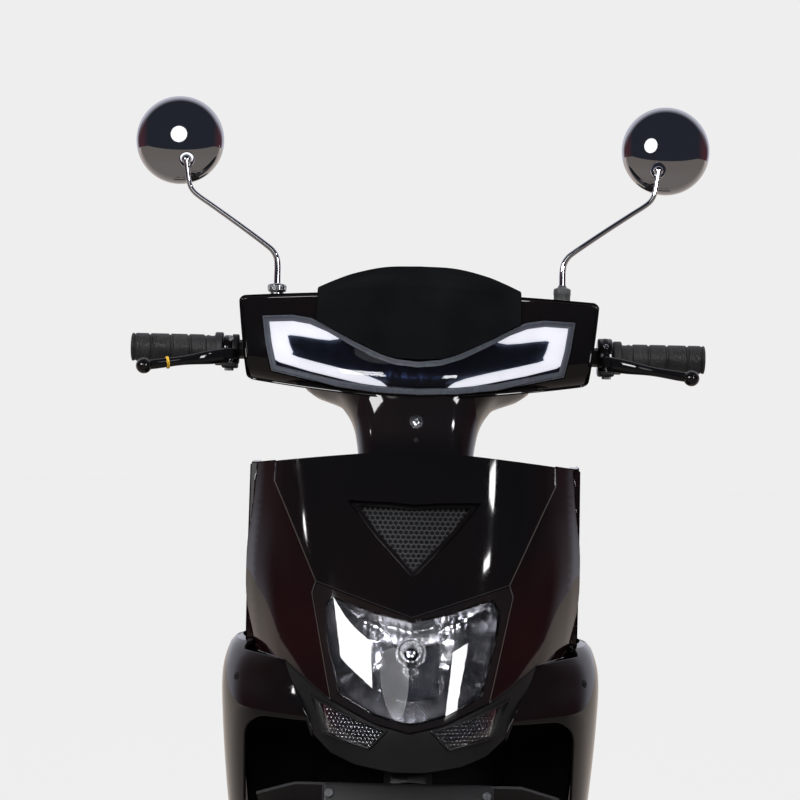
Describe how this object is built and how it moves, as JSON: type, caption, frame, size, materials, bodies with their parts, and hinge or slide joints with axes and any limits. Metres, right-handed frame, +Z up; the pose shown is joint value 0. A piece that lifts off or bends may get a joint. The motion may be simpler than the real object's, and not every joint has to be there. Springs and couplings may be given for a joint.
{
  "type": "moped scooter",
  "caption": "Electric step-through moped with black panels, smoked light strip, round mirrors, hub motor and sprung fork and rear arm.",
  "frame": {"origin": "on the floor, under the middle of the scooter's length and width", "axes": "+Z up; -Y is the front of the scooter; +X is the rider's left"},
  "size_m": [0.692, 1.68, 1.28],
  "materials": {
    "gloss": "polished black paint on moulded panels",
    "satin": "fine satin grain, black",
    "grey": "matt dark grey",
    "grip": "moulded rubber, matt",
    "tyre": "black tyre rubber",
    "smoke": "smoked clear lens, glossy",
    "clear": "clear moulded lens, glossy",
    "glow": "milky white light guide",
    "reflector": "metallised bowl in a dark housing",
    "chrome": "mirror chrome",
    "steel": "bright steel",
    "alloy": "dark painted cast alloy",
    "frame": "black powder coat",
    "vinyl": "black vinyl, fine grain",
    "red": "red moulded plastic"
  },
  "bodies": {
    "chassis": {"main_frame": "frame", "battery_box": "satin", "floorboard": "satin", "side_cover_right": "gloss", "side_cover_left": "gloss", "storage_tub": "satin", "tail_light": "red", "rear_fender": "satin", "grab_rail": "satin", "front_shield": "gloss", "headlight_housing": "reflector", "headlight_lens": "clear", "front_grille": "satin", "chin_panel": "grey", "shield_side_right": "gloss", "shield_side_left": "gloss", "signal_lens_right": "clear", "signal_lens_left": "clear", "wing_right": "gloss", "wing_left": "gloss", "inner_shield": "satin", "splash_guard": "satin"},
    "steering": {"fork_crown": "frame", "handlebar": "frame", "cowl_front": "gloss", "cowl_rear": "gloss", "drl_lens": "smoke", "light_guide_right": "glow", "light_guide_left": "glow", "neck_cover": "gloss", "grip_left": "grip", "lever_perch_right": "satin", "lever_perch_left": "satin"},
    "fork_lower": {"fork_slider_right": "alloy", "fork_slider_left": "alloy", "front_fender": "gloss"},
    "front_wheel": {"front_rim": "alloy", "front_tyre": "tyre"},
    "rear_arm": {"swingarm": "frame"},
    "rear_wheel": {"hub_motor": "alloy", "rear_tyre": "tyre"},
    "damper_body_right": {"shock_body_right": "satin", "shock_spring_right": "chrome"},
    "damper_body_left": {"shock_body_left": "satin", "shock_spring_left": "chrome"},
    "damper_rod_right": {"shock_rod_right": "steel"},
    "damper_rod_left": {"shock_rod_left": "steel"},
    "throttle": {"throttle_grip": "grip"},
    "lever_right": {"brake_lever_right": "gloss"},
    "lever_left": {"brake_lever_left": "gloss"},
    "stalk_right": {"mirror_arm_right": "chrome"},
    "stalk_left": {"mirror_arm_left": "chrome"},
    "mirror_right": {"mirror_head_right": "chrome"},
    "mirror_left": {"mirror_head_left": "chrome"},
    "key": {"ignition_key": "steel"},
    "horn": {"horn_button": "red"},
    "turn_knob": {"turn_switch": "satin"},
    "main_stand": {"center_stand": "frame"},
    "prop_stand": {"side_stand": "frame"},
    "saddle": {"seat": "vinyl"}
  },
  "joints": [
    {"name": "steer", "type": "hinge", "parent": "chassis", "child": "steering", "pos_m": [0, -0.61731, 0.19908], "axis": [0, 0.4226, 0.9063], "range_deg": [-40, 40]},
    {"name": "fork_slide", "type": "slide", "parent": "steering", "child": "fork_lower", "axis": [0, 0.4226, 0.9063], "range_m": [0, 0.06], "stiffness_N_per_m": 9000, "springref_m": -0.06},
    {"name": "front_wheel_spin", "type": "hinge", "parent": "fork_lower", "child": "front_wheel", "pos_m": [0, -0.63, 0.205], "axis": [1, 0, 0], "continuous": true},
    {"name": "rear_arm_swing", "type": "hinge", "parent": "chassis", "child": "rear_arm", "pos_m": [0, 0.33, 0.25], "axis": [1, 0, 0], "range_deg": [0, 10], "stiffness_Nm_per_rad": 1400, "springref_deg": -6.88},
    {"name": "rear_wheel_spin", "type": "hinge", "parent": "rear_arm", "child": "rear_wheel", "pos_m": [0, 0.63, 0.213], "axis": [1, 0, 0], "continuous": true},
    {"name": "damper_lean_right", "type": "hinge", "parent": "rear_arm", "child": "damper_body_right", "pos_m": [-0.1, 0.585, 0.24], "axis": [1, 0, 0], "range_deg": [-7.7, 0]},
    {"name": "damper_stroke_right", "type": "slide", "parent": "damper_body_right", "child": "damper_rod_right", "axis": [0, 0.2905, -0.9569], "range_m": [0, 0.0445], "deforming": ["shock_spring_right"]},
    {"name": "damper_lean_left", "type": "hinge", "parent": "rear_arm", "child": "damper_body_left", "pos_m": [0.1, 0.585, 0.24], "axis": [1, 0, 0], "range_deg": [-7.7, 0]},
    {"name": "damper_stroke_left", "type": "slide", "parent": "damper_body_left", "child": "damper_rod_left", "axis": [0, 0.2905, -0.9569], "range_m": [0, 0.0445], "deforming": ["shock_spring_left"]},
    {"name": "throttle_twist", "type": "hinge", "parent": "steering", "child": "throttle", "pos_m": [-0.29, -0.245, 0.976], "axis": [-1, 0, 0], "range_deg": [0, 70], "stiffness_Nm_per_rad": 0.5, "springref_deg": -17.19},
    {"name": "brake_right", "type": "hinge", "parent": "steering", "child": "lever_right", "pos_m": [-0.224, -0.283, 0.968], "axis": [0, 0, -1], "range_deg": [0, 15], "stiffness_Nm_per_rad": 6, "springref_deg": -8.59},
    {"name": "stalk_turn_right", "type": "hinge", "parent": "steering", "child": "stalk_right", "pos_m": [-0.17, -0.268, 1.045], "axis": [0, 0, 1], "range_deg": [-25, 25]},
    {"name": "mirror_tilt_right", "type": "hinge", "parent": "stalk_right", "child": "mirror_right", "pos_m": [-0.282, -0.264, 1.201], "axis": [1, 0, 0], "range_deg": [-10, 10]},
    {"name": "brake_left", "type": "hinge", "parent": "steering", "child": "lever_left", "pos_m": [0.224, -0.283, 0.968], "axis": [0, 0, 1], "range_deg": [0, 15], "stiffness_Nm_per_rad": 6, "springref_deg": -8.59},
    {"name": "stalk_turn_left", "type": "hinge", "parent": "steering", "child": "stalk_left", "pos_m": [0.17, -0.268, 1.045], "axis": [0, 0, 1], "range_deg": [-25, 25]},
    {"name": "mirror_tilt_left", "type": "hinge", "parent": "stalk_left", "child": "mirror_left", "pos_m": [0.282, -0.264, 1.201], "axis": [1, 0, 0], "range_deg": [-10, 10]},
    {"name": "key_turn", "type": "hinge", "parent": "chassis", "child": "key", "pos_m": [0.072, -0.23, 0.76], "axis": [0, 1, 0], "range_deg": [0, 90]},
    {"name": "horn_press", "type": "slide", "parent": "steering", "child": "horn", "axis": [0, -1, 0], "range_m": [0, 0.002], "stiffness_N_per_m": 400, "springref_m": -0.002},
    {"name": "turn_knob_twist", "type": "hinge", "parent": "steering", "child": "turn_knob", "pos_m": [0.224, -0.223, 0.984], "axis": [0, 1, 0], "range_deg": [-20, 20]},
    {"name": "main_stand_fold", "type": "hinge", "parent": "chassis", "child": "main_stand", "pos_m": [0, 0.342, 0.204], "axis": [1, 0, 0], "range_deg": [0, 62]},
    {"name": "prop_stand_swing", "type": "hinge", "parent": "chassis", "child": "prop_stand", "pos_m": [0.129, 0.11, 0.262], "axis": [-1, 0, 0], "range_deg": [0, 92]},
    {"name": "saddle_open", "type": "hinge", "parent": "chassis", "child": "saddle", "pos_m": [0, 0.158, 0.676], "axis": [1, 0, 0], "range_deg": [0, 75]}
  ],
  "couplings": [
    {"joint": "damper_lean_right", "follows": "rear_arm_swing", "ratio": -0.745},
    {"joint": "damper_stroke_right", "follows": "rear_arm_swing", "m_per_rad": 0.2455},
    {"joint": "damper_lean_left", "follows": "rear_arm_swing", "ratio": -0.745},
    {"joint": "damper_stroke_left", "follows": "rear_arm_swing", "m_per_rad": 0.2455}
  ]
}
